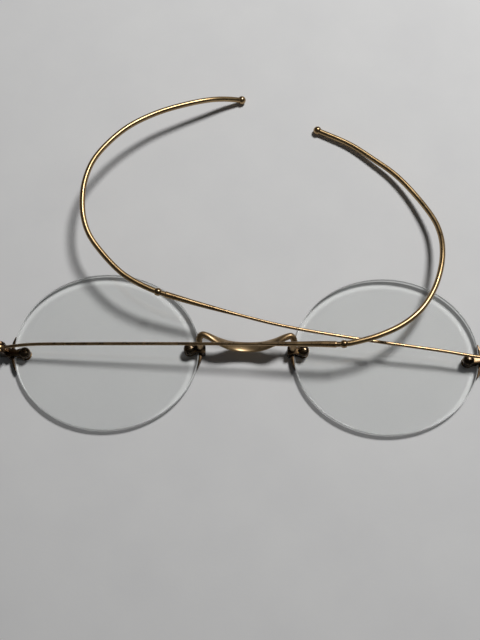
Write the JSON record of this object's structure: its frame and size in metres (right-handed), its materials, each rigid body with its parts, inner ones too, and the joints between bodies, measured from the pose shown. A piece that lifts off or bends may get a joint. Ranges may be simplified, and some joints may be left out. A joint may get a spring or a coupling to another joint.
{
  "type": "eyeglasses",
  "caption": "Rimless spectacles with short oval drilled lenses, a saddle bridge and hinged wire temples that end in coiled cable ear hooks with ball tips, shown folded.",
  "frame": {"origin": "middle of the folded object's box, on the table plane that the lens screws' ends and the ball tips rest on", "axes": "+X is the wearer's left, along the line of the lenses; +Y is the wearer's downward direction, where the ear hooks curl; +Z is the wearer's backward direction, away from the table the lens fronts face"},
  "size_m": [0.1076, 0.0806, 0.0101],
  "materials": {
    "antique_gold": "worn gold-filled metal, satin with soft wear",
    "cable_gold": "coiled gold-filled wire, satin",
    "tarnished_gold": "dark brown tarnish over gold-filled metal",
    "dark_steel": "dark oxidised steel",
    "lens_glass": "clear polished glass with a ground edge"
  },
  "bodies": {
    "front": {"lens_right": "lens_glass", "lens_left": "lens_glass", "saddle_bridge": "antique_gold", "end_piece_right": "antique_gold", "end_piece_left": "antique_gold", "hinge_screw_right": "dark_steel", "hinge_screw_left": "dark_steel", "strap_nasal_right": "tarnished_gold", "shoe_nasal_right": "tarnished_gold", "screw_nasal_right": "dark_steel", "strap_temporal_right": "tarnished_gold", "shoe_temporal_right": "tarnished_gold", "screw_temporal_right": "dark_steel", "strap_nasal_left": "tarnished_gold", "shoe_nasal_left": "tarnished_gold", "screw_nasal_left": "dark_steel", "strap_temporal_left": "tarnished_gold", "shoe_temporal_left": "tarnished_gold", "screw_temporal_left": "dark_steel"},
    "temple_right": {"temple_shaft_right": "antique_gold", "ferrule_right": "antique_gold", "cable_right": "cable_gold", "core_wire_right": "dark_steel", "ball_tip_right": "antique_gold"},
    "temple_left": {"temple_shaft_left": "antique_gold", "ferrule_left": "antique_gold", "cable_left": "cable_gold", "core_wire_left": "dark_steel", "ball_tip_left": "antique_gold"}
  },
  "joints": [
    {"name": "right_temple_hinge", "type": "hinge", "parent": "front", "child": "temple_right", "pos_m": [-0.05275, -0.02344, 0.0043], "axis": [0, -1, 0], "range_deg": [0, 90]},
    {"name": "left_temple_hinge", "type": "hinge", "parent": "front", "child": "temple_left", "pos_m": [0.05275, -0.02344, 0.0043], "axis": [0, 1, 0], "range_deg": [0, 90]}
  ]
}
